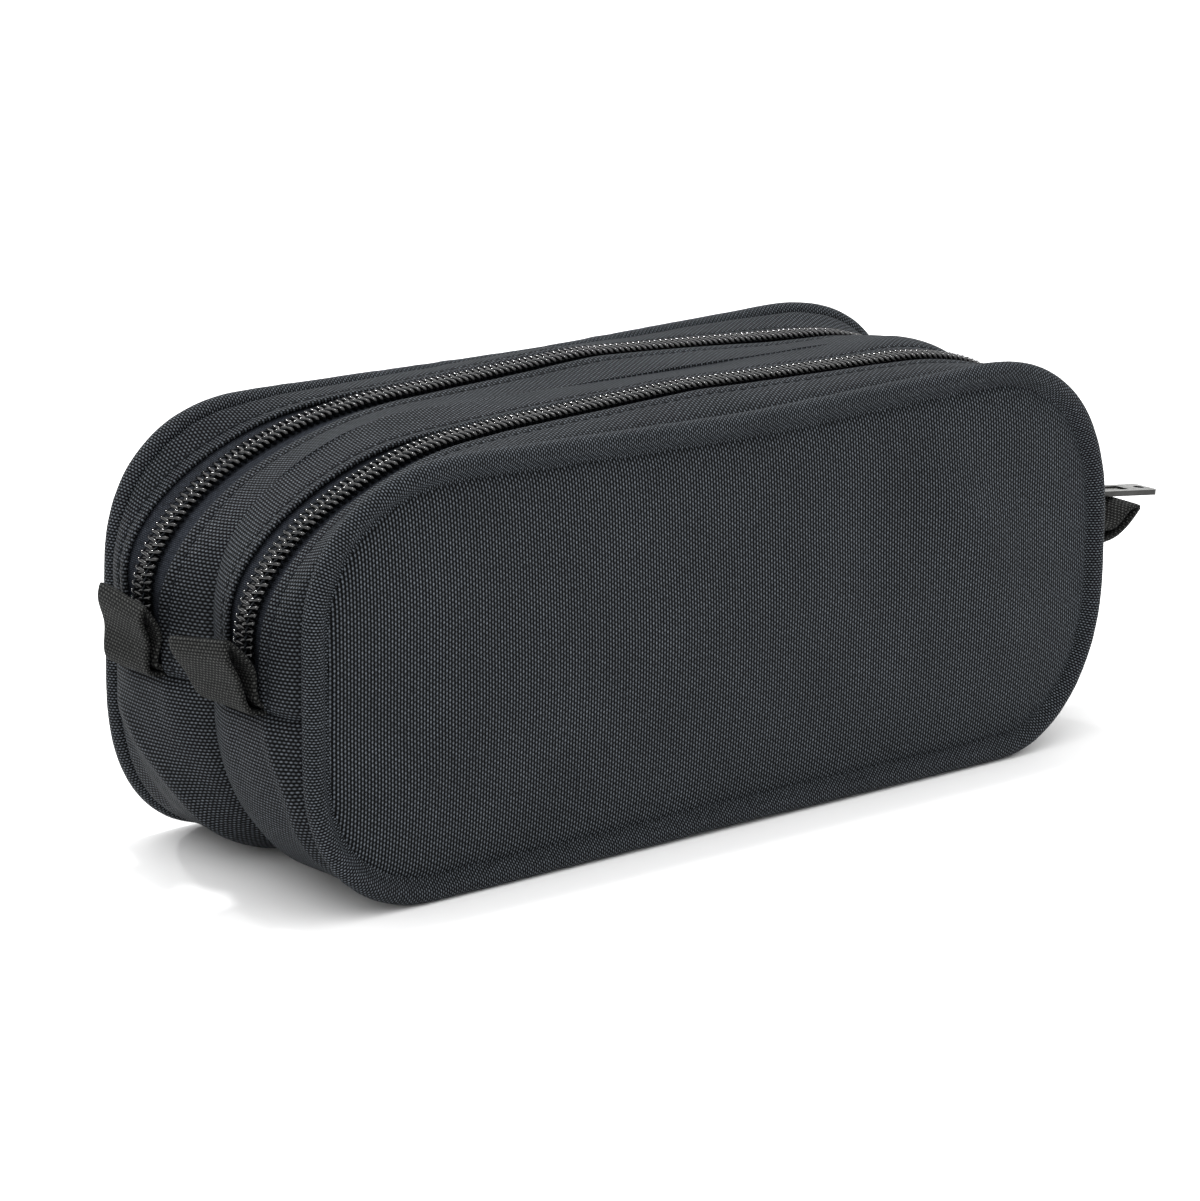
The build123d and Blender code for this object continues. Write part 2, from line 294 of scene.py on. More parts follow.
def slab(outer, inner, closed):
    """Verts, faces and uvs of a closed sheet between two grids of points, shaped (rows, points, 3).
    A closed sheet joins its last column to its first."""
    rows, cols = outer.shape[:2]
    verts = np.vstack([outer.reshape(-1, 3), inner.reshape(-1, 3)])
    loop = np.concatenate([outer, outer[:, :1]], 1) if closed else outer
    u = along(loop.mean(0)) * MM
    v = np.r_[0, np.cumsum(np.linalg.norm(np.diff(outer, axis=0), axis=2).mean(1))] * MM
    thick = np.linalg.norm(outer - inner, axis=2).max() * MM
    faces, uvs = [], []

    def corner(row, col, layer):
        return layer * rows * cols + row * cols + col % cols

    last = cols if closed else cols - 1
    for layer in (0, 1):
        for i in range(rows - 1):
            for j in range(last):
                faces.append([corner(i, j, layer), corner(i, j + 1, layer),
                              corner(i + 1, j + 1, layer), corner(i + 1, j, layer)])
                uvs += [(u[j], v[i]), (u[j + 1], v[i]), (u[j + 1], v[i + 1]), (u[j], v[i + 1])]
    for i, beyond in ((0, v[0] - thick), (rows - 1, v[-1] + thick)):
        for j in range(last):
            faces.append([corner(i, j, 0), corner(i, j + 1, 0), corner(i, j + 1, 1), corner(i, j, 1)])
            uvs += [(u[j], v[i]), (u[j + 1], v[i]), (u[j + 1], beyond), (u[j], beyond)]
    if not closed:
        for j, beyond in ((0, u[0] - thick), (cols - 1, u[-1] + thick)):
            for i in range(rows - 1):
                faces.append([corner(i, j, 0), corner(i + 1, j, 0),
                              corner(i + 1, j, 1), corner(i, j, 1)])
                uvs += [(u[j], v[i]), (u[j], v[i + 1]), (beyond, v[i + 1]), (beyond, v[i])]
    return verts, faces, uvs


TUBE_UV = 0.002                             # metres of texture round a tube


def tube(points, refs, radius, sides):
    """Verts, faces and uvs of a capped tube; refs are directions that the line never follows."""
    heading = np.gradient(points, axis=0)
    heading /= np.linalg.norm(heading, axis=1)[:, None]
    across = np.cross(heading, refs)
    across /= np.linalg.norm(across, axis=1)[:, None]
    third = np.cross(heading, across)
    turn = np.linspace(0, 2 * np.pi, sides, endpoint=False)
    radius = np.broadcast_to(radius, len(points))[:, None, None]
    circle = across[:, None] * np.cos(turn)[None, :, None] + third[:, None] * np.sin(turn)[None, :, None]
    verts = (points[:, None] + radius * circle).reshape(-1, 3)
    count = len(points)
    step = along(points) * MM
    faces, uvs = [], []
    for i in range(count - 1):
        for k in range(sides):
            m = (k + 1) % sides
            faces.append([i * sides + k, i * sides + m, (i + 1) * sides + m, (i + 1) * sides + k])
            v0, v1 = k / sides * TUBE_UV, (k + 1) / sides * TUBE_UV
            uvs += [(step[i], v0), (step[i], v1), (step[i + 1], v1), (step[i + 1], v0)]
    for i in (0, count - 1):
        faces.append([i * sides + k for k in range(sides)])
        uvs += [(step[i], 0)] * sides
    return verts, faces, uvs


def merged(parts):
    """Several (verts, faces, uvs) as one."""
    verts, faces, uvs, base = [], [], [], 0
    for v, f, t in parts:
        verts.append(v)
        faces += [[base + k for k in face] for face in f]
        uvs += t
        base += len(v)
    return np.vstack(verts), faces, uvs


def at(line, d, side):
    """Points in X and Z, placed at a distance from the divider."""
    y = np.broadcast_to(np.asarray(d, float) * SIDES[side], len(line))
    return np.stack([line[:, 0], y, line[:, 1]], 1)


# ---- materials ----
class Nodes:
    """Short calls to build a material's node tree. An input is a value or another node's socket."""

    def __init__(self, name):
        self.material = bpy.data.materials.new(name)
        self.material.use_nodes = True
        self.tree = self.material.node_tree
        self.shader = self.tree.nodes["Principled BSDF"]

    def node(self, kind, inputs=None, **settings):
        made = self.tree.nodes.new(kind)
        for key, value in settings.items():
            setattr(made, key, value)
        for key, value in (inputs or {}).items():
            self.put(made.inputs[key], value)
        return made

    def put(self, socket, value):
        if isinstance(value, bpy.types.NodeSocket):
            self.tree.links.new(value, socket)
        else:
            socket.default_value = value

    def maths(self, operation, *values):
        return self.node("ShaderNodeMath", dict(enumerate(values)), operation=operation).outputs[0]

    def noise(self, vector, scale, detail=2.0):
        made = self.node("ShaderNodeTexNoise", {"Vector": vector, "Scale": scale, "Detail": detail})
        return made.outputs[0]

    def mapped(self, value, low, high, start, end):
        """value from low to high as a number from start to end."""
        return self.node("ShaderNodeMapRange", {0: value, 1: low, 2: high, 3: start, 4: end}).outputs[0]

    def ramp(self, value, low, high, dark, light):
        """value from low to high as a colour from dark to light."""
        share = self.mapped(value, low, high, 0.0, 1.0)
        mix = self.node("ShaderNodeMix", {"Factor": share}, data_type="RGBA")
        self.put(mix.inputs["A"], (*dark, 1))
        self.put(mix.inputs["B"], (*light, 1))
        return mix.outputs["Result"]

    def dim(self, colour, factor):
        """A colour or vector multiplied by a value."""
        scaled = self.node("ShaderNodeVectorMath", {0: colour, "Scale": factor}, operation="SCALE")
        return scaled.outputs[0]

    def finish(self, **sockets):
        for name, value in sockets.items():
            self.put(self.shader.inputs[name.replace("_", " ")], value)
        return self.material


def cloth(name, dark, light, warp=0.72e-3, weft=0.45e-3, turn=0.0, relief=0.00020, rough=0.6,
          wobble=0.00010, weft_share=0.08, gloss=0.06, dive=0.7, narrow=1.4):
    """Plain-woven yarn: warp columns rise over every second weft pick, half a step apart. dive is how
    far a column sinks under a pick, narrow how thin it looks, and weft_share how high a pick stands
    against a column. warp, weft, relief and wobble are in metres."""
    n = Nodes(name)
    uv = n.node("ShaderNodeTexCoord").outputs["UV"]
    turned = n.node("ShaderNodeVectorRotate", {"Vector": uv, "Angle": turn}).outputs[0]
    drift = n.node("ShaderNodeTexNoise", {"Vector": uv, "Scale": 260.0, "Detail": 2.0}).outputs["Color"]
    shift = n.dim(drift, wobble)
    place = n.node("ShaderNodeVectorMath", {0: turned, 1: shift}, operation="ADD").outputs[0]
    split = n.node("ShaderNodeSeparateXYZ", {0: place})
    a = n.maths("DIVIDE", split.outputs[0], warp)
    b = n.maths("DIVIDE", split.outputs[1], weft)
    column, row = n.maths("FLOOR", a), n.maths("FLOOR", b)

    def crown(value, whole):
        """1 along the middle of a yarn and 0 between yarns."""
        return n.maths("SINE", n.maths("MULTIPLY", n.maths("SUBTRACT", value, whole), np.pi))

    def over(value, whole, sign, drop):
        """1 where the yarn is on top, 1 - drop where it dives under."""
        phase = n.maths("ADD", n.maths("SUBTRACT", value, 0.5), whole)
        wave = n.maths("COSINE", n.maths("MULTIPLY", phase, np.pi))
        return n.maths("MULTIPLY_ADD", wave, 0.5 * drop * sign, 1 - 0.5 * drop)

    warp_height = n.maths("MULTIPLY", n.maths("POWER", crown(a, column), narrow), over(b, column, 1, dive))
    weft_height = n.maths("MULTIPLY", crown(b, row), n.maths("MULTIPLY", over(a, row, -1, 1), weft_share))
    height = n.maths("MAXIMUM", warp_height, weft_height)
    fuzz = n.noise(uv, 9000.0)
    height = n.maths("ADD", height, n.maths("MULTIPLY_ADD", fuzz, 0.2, -0.1))
    # Painted shade and highlight: the colour runs from dark, painted shade between the yarns, to light, the
    # yarn's own colour with a painted highlight on its crowns.
    colour = n.ramp(height, 0.34, 1.0, dark, light)
    patchy = n.mapped(n.noise(uv, 1100.0, 3.0), 0.3, 0.7, 0.6, 1.4)
    broad = n.mapped(n.noise(uv, 55.0, 3.0), 0.3, 0.7, 0.9, 1.1)
    colour = n.dim(colour, n.maths("MULTIPLY", patchy, broad))
    bump = n.node("ShaderNodeBump", {"Height": height, "Strength": 1.0, "Distance": relief})
    return n.finish(Base_Color=colour, Roughness=rough, Normal=bump.outputs[0], Specular_IOR_Level=gloss,
                    Sheen_Weight=0.012, Sheen_Roughness=0.4, Sheen_Tint=(0.62, 0.7, 0.8, 1))


def polished(name, colour, rough, metallic=0.0, coat=0.0, gloss=0.5, relief=0.00002, scale=1400.0,
             painted_shade_sides=None):
    """A smooth surface with faint unevenness and handling marks. painted_shade_sides is a flat piece's face
    direction: walls across it are painted darker, as painted shade."""
    n = Nodes(name)
    place = n.node("ShaderNodeTexCoord").outputs["Object"]
    marks = n.noise(place, scale, 4.0)
    tone = n.mapped(marks, 0.3, 0.7, 0.85, 1.15)
    base = n.node("ShaderNodeRGB")
    base.outputs[0].default_value = (*colour, 1)
    uneven = n.mapped(n.noise(place, 300.0, 3.0), 0.3, 0.7, rough * 0.8, rough * 1.3)
    # Painted shade: walls across the face direction are darkened by their facing, not by any mark on the
    # metal.
    if painted_shade_sides:
        facing = n.node("ShaderNodeTexCoord").outputs["Normal"]
        turned = n.node("ShaderNodeVectorMath", {0: facing, 1: painted_shade_sides}, operation="DOT_PRODUCT")
        flat = n.maths("ABSOLUTE", turned.outputs["Value"])
        tone = n.maths("MULTIPLY", tone, n.mapped(flat, 0.3, 0.75, 0.08, 1.0))
    bump = n.node("ShaderNodeBump", {"Height": marks, "Strength": 0.4, "Distance": relief})
    return n.finish(Base_Color=n.dim(base.outputs[0], tone), Roughness=uneven, Metallic=metallic,
                    Normal=bump.outputs[0], Coat_Weight=coat, Coat_Roughness=0.15, Specular_IOR_Level=gloss)


# Every cloth below runs from its first colour, painted shade between its yarns, to its second, the yarn's own
# colour with a painted highlight on the crowns.
CLOTH_GAP_SHADE = (0.0008, 0.0009, 0.0012)       # painted shade between the yarns
CLOTH_YARN_AND_HIGHLIGHT = (0.111, 0.125, 0.142)         # the yarns' own colour on their crowns, with a painted highlight
# Painted shade: the band's cloth is a copy of the panel's at 0.86 of its brightness, darker to temper the
# stronger light on the band's top.
BAND_SHADED_YARN = [tone * 0.86 for tone in CLOTH_YARN_AND_HIGHLIGHT]
PANEL_CLOTH = cloth("panel_cloth", CLOTH_GAP_SHADE, CLOTH_YARN_AND_HIGHLIGHT, dive=0.58, narrow=1.6)
BAND_CLOTH = cloth("band_cloth", CLOTH_GAP_SHADE, BAND_SHADED_YARN, dive=0.6, relief=0.00028)
PIPING_CLOTH = cloth("piping_cloth", CLOTH_GAP_SHADE, CLOTH_YARN_AND_HIGHLIGHT, warp=0.56e-3, weft=0.4e-3, dive=0.6)
TAPE_CLOTH = cloth("zip_tape_cloth", (0.004, 0.005, 0.008), (0.040, 0.045, 0.054), warp=0.4e-3,
                   weft=0.3e-3, relief=0.00004, rough=0.7, weft_share=0.8, dive=1, narrow=0.7)
WEBBING_CLOTH = cloth("webbing_cloth", (0.001, 0.001, 0.001), (0.066, 0.068, 0.065), warp=0.7e-3,
                      weft=0.5e-3, relief=0.0002, rough=0.75, weft_share=0.6, dive=1, narrow=0.7)
BINDING_CLOTH = cloth("binding_cloth", (0.004, 0.005, 0.006), (0.03, 0.033, 0.036), warp=0.5e-3,
                      weft=0.3e-3)
CORD_FIBRE = cloth("cord_fibre", (0.35, 0.34, 0.32), (0.6, 0.6, 0.58), warp=0.6e-3, weft=0.6e-3,
                   turn=np.radians(35))
COIL_NYLON = polished("coil_nylon", (0.002, 0.0022, 0.0025), 0.1, gloss=0.6)
THREAD = cloth("thread", (0.002, 0.003, 0.004), (0.036, 0.039, 0.045), warp=0.2e-3, weft=0.2e-3,
               turn=np.radians(30), relief=0.00004)
SLIDER_METAL = polished("slider_enamel", (0.012, 0.012, 0.013), 0.3, coat=0.3)
# The puller's side walls get painted shade.
PULLER_METAL = polished("puller_nickel", (0.55, 0.55, 0.535), 0.16, metallic=1.0, relief=0.00012,
                        scale=500.0, painted_shade_sides=(0.115, 0.0, 0.993))


# ---- the band: gusset and zip strips ----
# The band against the piping's centre line: its height at the seam, and its quick rise beside it.
DITCH_DEPTH = {"front": (-1.5, 2.6), "back": (-1.4, 3.6)}
END_GROOVE = 1.2                            # depth of the seam across each end


LEFT_CORNER = 60                            # how far left of the middle the left corner begins
BEYOND = 200                                # outside every ring


def corner_share(side, low=SEAM_Z + 9):
    """1 round the left corner, falling to 0 along the top and below a height."""
    line = RINGS[side]["zip"]
    return plateau(-line[:, 0], LEFT_CORNER, BEYOND, 7) * plateau(line[:, 1], low, BEYOND, 3)


def opening_share(side):
    """As corner_share, but gone where the folds close in towards the tab."""
    return corner_share(side, SEAM_Z + 17)


def zip_d(side):
    """The zip's distance from the divider at each point of its ring."""
    return ZIP_D + SPLAY[side] * corner_share(side)


def fold_d(side, toward):
    """The distance of a strip's folded edge; toward is 1 for the outer strip and -1 for the inner."""
    plain = OUTER_FOLD_D - ZIP_D if toward > 0 else ZIP_D - INNER_FOLD_D
    return zip_d(side) + toward * (plain + OPENING[side, toward][0] * opening_share(side))


def fold_line(side, toward):
    """The surface at a strip's folded edge, in X and Z."""
    zipper = RINGS[side]["zip"]
    return zipper + normals(zipper) * (OPENING[side, toward][1] * opening_share(side))[:, None]


def band_line(side, d):
    """The band's outer surface at distances d from the divider, in X and Z."""
    piping, zipper = RINGS[side]["piping"], RINGS[side]["zip"]
    d = np.broadcast_to(np.asarray(d, float), RING)
    outer, inner = fold_d(side, 1), fold_d(side, -1)

    # From the piped seam to the outer fold.
    share = np.clip((DITCH_D - d) / (DITCH_D - outer), 0, 1)[:, None]
    low, rise = DITCH_DEPTH[side]
    start = piping + normals(piping) * (low + rise * (1 - np.exp(-share / 0.12)))
    outside = start + (fold_line(side, 1) - start) * (1 - (1 - share) ** 1.8)

    # From the inner fold to the valley, which is sharper low down at the ends.
    share = np.clip(1 - d / inner, 0, 1)[:, None]
    low_end = 1 / (1 + np.exp((VALLEY[:, 1] - 60) / 2.5))
    dip = 0.9 * np.exp(-d / 0.9) * low_end
    height, centre, spread = INNER_RISE[side]
    hump = height * hill(VALLEY[:, 0], centre, spread) * (VALLEY[:, 1] > SEAM_Z) * np.sin(np.pi * share[:, 0])
    inside = (fold_line(side, -1) + (VALLEY - fold_line(side, -1)) * share ** 1.5
              + normals(VALLEY) * (hump - dip)[:, None])

    # Between the folds, over the tapes.
    reach = np.abs(d - zip_d(side)) - COIL_HALF
    toward = np.where(d > zip_d(side), 1, -1)
    fold = np.where(toward > 0, outer, inner)
    climb = np.clip(reach / (np.abs(fold - zip_d(side)) - COIL_HALF), 0, 1) ** 1.3
    edge = np.where((toward > 0)[:, None], fold_line(side, 1), fold_line(side, -1))
    middle = zipper + (edge - zipper) * climb[:, None]
    return np.where((d >= outer)[:, None], outside, np.where((d <= inner)[:, None], inside, middle))


def band_relief(line, d, seed):
    """Height of the cloth above the band's plain shape: ripples, puckers beside the piping, and the
    groove of the seam across each end."""
    travel = along(line)
    low = noise(travel / 26, d / 14, seed) * 0.3 + noise(travel / 9, d / 6, seed + 1) * 0.12
    near_ditch = np.exp(-(DITCH_D - d) / 2.4)
    puckers = noise(travel / 3.4, 0.5, seed + 2) * 0.24 * near_ditch
    calm = np.minimum(1.0, np.abs(d - ZIP_D) / 9)
    ends = np.abs(line[:, 0]) > END_X * 0.8
    return low * calm + puckers - END_GROOVE * hill(line[:, 1], SEAM_Z, 1.1) * ends


def band_rows(side, distances, seed, extra):
    """Outer and inner grids of a strip of the band, over the whole ring. extra is its own relief."""
    outer, inner = [], []
    for d in distances:
        line = band_line(side, d)
        away = normals(line)
        relief = band_relief(line, d, seed) + extra(line, d)
        outer.append(at(line + away * relief[:, None], d, side))
        inner.append(at(line + away * (relief - CLOTH)[:, None], d, side))
    return np.array(outer), np.array(inner)


def fold_edge(outer, inner, toward, side):
    """New rows that roll a strip's first edge over to the underside."""
    steps, roll = 5, np.radians(83)
    new_outer, new_inner = [], []
    middle = (outer[0] + inner[0]) / 2
    half = (outer[0] - inner[0]) / 2
    for k in range(1, steps + 1):
        turn = roll * k / steps
        shift = np.array([0, toward * SIDES[side] * CLOTH / 2 * np.sin(turn), 0])
        new_outer.append(middle + half * np.cos(turn) + shift)
        new_inner.append(middle - half * np.cos(turn) * 0.98 + shift)
    return np.array(new_outer), np.array(new_inner)


MEETING = 0.05                              # the halves' cloth meets this far from the divider's middle
TOP = slice(0, 2 * QUARTER + 1)             # the zip strips' part of a ring
BASE = slice(2 * QUARTER, 4 * QUARTER + 1)  # the lower gusset's part


def part_of(grid, part):
    """The strips' or the gusset's share of a whole-ring grid."""
    closed = np.concatenate([grid, grid[:, :1]], 1)
    return closed[:, part]


TOPSTITCH = 2.6                             # from the folded edge to the stitched line
THREAD_RADIUS = 0.2


def topstitch_dent(side, toward):
    """The stitched line presses a groove into the folded strip."""
    fold = fold_d(side, toward)

    def extra(_, d):
        gap = (d - fold) * toward
        return -0.26 * np.exp(-((gap - TOPSTITCH) / 0.45) ** 2) + 0.2 * np.exp(-((gap - 0.9) / 0.8) ** 2)
    return extra


def strip(side, name, toward, far):
    """A zip strip from its folded edge, rolled under and topstitched, to far from the divider."""
    seed = seed_of(name, side)
    fold = fold_d(side, toward)
    first = fold + toward * CLOTH / 2
    steps = np.r_[np.linspace(0, 0.8, 17)[:-1], np.linspace(0.8, 1, 8)]
    dent = topstitch_dent(side, toward)
    outer, inner = band_rows(side, [first + (far - first) * t for t in steps], seed, dent)
    more_outer, more_inner = fold_edge(outer, inner, -toward, side)
    outer = np.concatenate([more_outer[::-1], outer])
    inner = np.concatenate([more_inner[::-1], inner])
    make(f"{side}_{name}_strip_cloth", *slab(part_of(outer, TOP), part_of(inner, TOP), False),
         BAND_CLOTH, "cloth", [f"{side}_zip_{name}_strip"])
    sewn, _ = band_rows(side, [fold + toward * TOPSTITCH], seed, dent)
    stitches(f"{side}_{name}_topstitch", part_of(sewn, TOP)[0], pitch=2.9, length=2.1)


def stitches(name, path, pitch, length):
    """Stitches of one thread along a path on the cloth."""
    travel = along(path)
    taper = THREAD_RADIUS * np.array([0.5, 0.9, 1, 1, 0.9, 0.5])
    count = len(taper)
    parts = []
    for start in np.arange(1.0, travel[-1] - length, pitch):
        s = start + np.linspace(0, length, count)
        points = np.stack([np.interp(s, travel, path[:, k]) for k in range(3)], 1)
        lift = outward(points) * (0.12 * np.sin(np.linspace(0, np.pi, count)) - 0.02)[:, None]
        parts.append(tube(points + lift, outward(points), taper, 6))
    make(name, *merged(parts), THREAD, "cloth")


def outward(points):
    """Directions away from the middle of the bag, in X and Z."""
    middle = np.array([0, 0, SEAM_Z])
    away = (points - middle) * [1, 0, 1]
    core = np.clip(away[:, 0], -END_X * 0.6, END_X * 0.6)
    away[:, 0] -= core
    return away / np.linalg.norm(away, axis=1)[:, None]


# Folds of the gusset's lower corners: height and distance from the divider at each end, width, rise.
GUSSET_FOLDS = {
    "front": [((39, 23), (24, 28), 1.8, 0.8), ((26, 27.5), (8, 26), 1.8, 0.8),
              ((34, 14), (12, 8), 3.5, -0.5)],
    "back": [((31, 28), (18, 14), 2.6, 1.0), ((20, 15), (4, 9), 2.6, 0.9), ((26, 27), (6, 24), 3.5, -0.7),
             ((36, 16), (14, 4), 3.5, -0.5)],
}


def gusset_folds(side):
    """Soft diagonal folds at the gusset's lower corners."""
    def extra(line, d):
        x, z = line[:, 0], line[:, 1]
        folds = sum(crease(z, d, start, end, width, rise) for start, end, width, rise in GUSSET_FOLDS[side])
        return np.where(np.abs(x) > END_X / 2, folds, 0)
    return extra


def lower_gusset(side):
    """The base and lower ends, with rows closer together at the piping and at the valley, and the
    stitched line under the seam across each end."""
    shoulder, brow = DITCH_D - 2.0, 1.2
    distances = np.r_[np.linspace(DITCH_D, shoulder, 7)[:-1], np.linspace(shoulder, brow, 30)[:-1],
                      np.linspace(brow, MEETING, 6)]
    folds = gusset_folds(side)
    seed = seed_of("gusset", side)
    outer, inner = band_rows(side, distances, seed, folds)
    make(f"{side}_gusset_cloth", *slab(part_of(outer, BASE), part_of(inner, BASE), False),
         BAND_CLOTH, "cloth", [f"{side}_lower_gusset"])
    sewn, _ = band_rows(side, np.linspace(DITCH_D - 1.5, 3, 24), seed, folds)
    closed = part_of(sewn, BASE)
    for end, column in (("right", 0), ("left", -1)):
        stitches(f"{side}_{end}_end_stitches", closed[:, column] - [0, 0, 0.9], pitch=2.4, length=1.7)


# ---- panels, piping and divider ----
def patch(boundary, columns, rows):
    """A grid over a ring: a Coons patch whose corners lie half way round the ring's corners."""
    corners = [int(QUARTER * k) for k in (0.5, 1.5, 2.5, 3.5)]
    closed = np.vstack([boundary, boundary])
    left_up = closed[corners[3]:corners[0] + RING + 1]
    top = closed[corners[0]:corners[1] + 1]
    right_down = closed[corners[1]:corners[2] + 1]
    base = closed[corners[2]:corners[3] + 1]

    def spread(count):
        """Shares from 0 to 1, closer together towards both ends."""
        t = np.linspace(0, 1, count)
        return t - 0.6 * np.sin(2 * np.pi * t) / (2 * np.pi)

    s, t = spread(columns), spread(rows)
    low, high = resampled(base[::-1], s), resampled(top, s)
    left, right = resampled(left_up, t), resampled(right_down[::-1], t)
    a, b = s[None, :, None], t[:, None, None]
    return ((1 - b) * low[None] + b * high[None] + (1 - a) * left[:, None] + a * right[:, None]
            - (1 - a) * (1 - b) * low[0] - a * (1 - b) * low[-1] - (1 - a) * b * high[0] - a * b * high[-1])


def edge_distance(grid, boundary):
    """How far each point of a grid is from its boundary."""
    flat = grid.reshape(-1, 1, 2)
    found = [np.sqrt(((part - boundary[None]) ** 2).sum(2).min(1)) for part in np.array_split(flat, 20)]
    return np.concatenate(found).reshape(grid.shape[:2])


def flat_uv(verts, faces):
    """The weave laid flat in X and Z."""
    return [(verts[k][0] * MM, verts[k][2] * MM) for face in faces for k in face]


def panel_relief(side, x, z, inward):
    """How far the panel's cloth stands out from its seam's plane: its crown, slow waves, puckers beside
    the seam, and soft folds and dents towards the right."""
    crown = 3.4 * (1 - np.exp(-inward / 16)) + 3.3 * (1 - np.exp(-inward / 0.95))
    seed = seed_of("panel", side)
    drift = 0.5 * noise(x / 45 + 0.2 * z / 45, z / 30, seed) + 0.16 * noise(x / 16, z / 12, seed + 1)
    puckers = 0.22 * noise(x / 4.5 + z / 7, z / 4.5 - x / 9, seed + 2) * np.exp(-inward / 4)
    soft = crease(x, z, (50, 66), (74, 40), 7, 0.8) - crease(x, z, (60, 70), (88, 50), 6, 0.7)
    dents = crease(x, z, (66, 30), (92, 22), 6, 0.4) - crease(x, z, (28, 64), (40, 46), 8, 0.5)
    return crown + (drift + soft + dents) * (1 - np.exp(-inward / 9)) + puckers


PANEL_INSET = BEAD * 0.36                   # the panel's seam, in from the piping's centre line
PANEL_SEAM = 2.6                            # and under it


def panel(side):
    """The flat face, bulging a little, with its edge sunk beside the piping."""
    boundary = RINGS[side]["piping"] - normals(RINGS[side]["piping"]) * PANEL_INSET
    grid = patch(boundary, 190, 84)
    inward = edge_distance(grid, boundary)
    x, z = grid[..., 0], grid[..., 1]
    y = SIDES[side] * (BEAD_D - PANEL_SEAM + panel_relief(side, x, z, inward))
    outer = np.stack([x, y, z], 2)
    inner = np.stack([x, y - SIDES[side] * CLOTH, z], 2)
    verts, faces, _ = slab(outer, inner, False)
    make(f"{side}_panel_cloth", verts, faces, flat_uv(verts, faces), PANEL_CLOTH, "cloth", [f"{side}_panel"])


def piping(side):
    """Cloth wrapped round the cord, with both of its legs running into the seam."""
    line = RINGS[side]["piping"]
    away = normals(line)
    travel = along(line)
    pinch = 0.07 * noise(travel / 5, 0.3, 91) + 0.05 * noise(travel / 2.2, 0.7, 92)
    leg, layer, gap = 7.0, 0.5, 0.02
    radius = BEAD / 2
    pinched = np.pi * 0.80                  # where the cloth leaves the cord, either way from its outside
    leg_rows = np.linspace(-leg, -radius * 1.15, 4)
    outer, inner = [], []

    def row(store, depth, shift):
        moved = line + away * np.broadcast_to(depth, RING)[:, None]
        store.append(at(moved, BEAD_D + shift, side))

    for depth in leg_rows:
        row(outer, depth, -layer)
        row(inner, depth, -gap)
    for turn in np.linspace(-pinched, pinched, 26):
        depth = (radius + pinch) * np.cos(turn)
        row(outer, depth, radius * np.sin(turn))
        row(inner, depth * (1 - layer / radius), (radius - layer) * np.sin(turn))
    for depth in leg_rows[::-1]:
        row(outer, depth, layer)
        row(inner, depth, gap)
    make(f"{side}_piping_cloth", *slab(np.array(outer), np.array(inner), True), PIPING_CLOTH,
         "piping_cloth", [f"{side}_piping_cover"])
    closed = at(np.vstack([line, line[:1]]), BEAD_D, side)
    ref = np.broadcast_to([0.0, 1.0, 0.0], closed.shape)
    make(f"{side}_piping_filler", *tube(closed, ref, CORD / 2, 10), CORD_FIBRE, "piping_cord",
         [f"{side}_piping_cord"])


def divider():
    """The lining sheet between the two halves."""
    boundary = VALLEY - normals(VALLEY) * 1.6
    grid = patch(boundary, 60, 28)
    sway = 0.06 * noise(grid[..., 0] / 40, grid[..., 1] / 30, 5)
    outer = np.stack([grid[..., 0], sway + 0.1, grid[..., 1]], 2)
    inner = outer - [0, 0.2, 0]
    verts, faces, _ = slab(outer, inner, False)
    make("divider_cloth", verts, faces, flat_uv(verts, faces), BINDING_CLOTH, "cloth", ["divider"])


def binding(side):
    """Tape folded over the raw edges of the piped seam, inside the bag."""
    line = RINGS[side]["piping"]
    away = normals(line)
    leg, layer = 4.0, 0.6
    deep = abs(spans("front_seam_binding")[0][1] - BEAD_X) + BEAD / 2
    shallow = deep - leg
    back, front = BEAD_D - 3.2, BEAD_D - 0.6
    route = [(shallow, back), (deep - leg / 2, back), (deep, back), (deep + layer, back + 0.5),
             (deep + layer, BEAD_D - 1), (deep, front), (shallow, front)]
    centre = np.array([deep - leg / 2, (back + front) / 2])
    outer, inner = [], []
    for depth, d in route:
        outer.append(at(line - away * depth, d, side))
        pull = centre - [depth, d]
        pull = pull / np.linalg.norm(pull) * layer
        inner.append(at(line - away * (depth + pull[0]), d + pull[1], side))
    make(f"{side}_binding_cloth", *slab(np.array(outer), np.array(inner), True), BINDING_CLOTH,
         "binding_tape", [f"{side}_seam_binding"])


# ---- zips ----
def zip_path(side, lowest):
    """The zip's line from its left end to its right end, above a height, with its normals and its
    distance from the divider."""
    closed = np.vstack([RINGS[side]["zip"], RINGS[side]["zip"][:1]])
    away = normals(RINGS[side]["zip"])
    away = np.vstack([away, away[:1]])
    d = zip_d(side)
    keep = closed[TOP, 1] >= lowest
    return closed[TOP][keep], away[TOP][keep], np.r_[d, d[:1]][TOP][keep]


def tape(side, name, toward):
    """The woven tape under a row of the coil and under its strip."""
    first, thick = 0.7, 0.6
    outer, inner = [], []
    for reach in np.r_[first, np.linspace(COIL_HALF, TAPE_REACH, 12)]:
        d = zip_d(side) + toward * reach
        line = band_line(side, d)
        away = normals(line)
        depth = TAPE_DEPTH + 0.25 * min(1, max(0, (reach - COIL_HALF) / 2))
        outer.append(at(line - away * depth, d, side))
        inner.append(at(line - away * (depth + thick), d, side))
    outer, inner = part_of(np.array(outer), TOP), part_of(np.array(inner), TOP)
    make(f"{side}_{name}_tape_cloth", *slab(outer, inner, False), TAPE_CLOTH, "zip_tape",
         [f"{side}_zip_{name}_tape"])


FILAMENT = 0.41                             # its radius
COIL_PITCH = 1.5
HEAD_REACH = 0.5                            # how far a row's heads reach past the zip's centre line
TURN_POINTS = 20
SEWING = 0.25                               # where the thread runs, from a row's middle to its edge


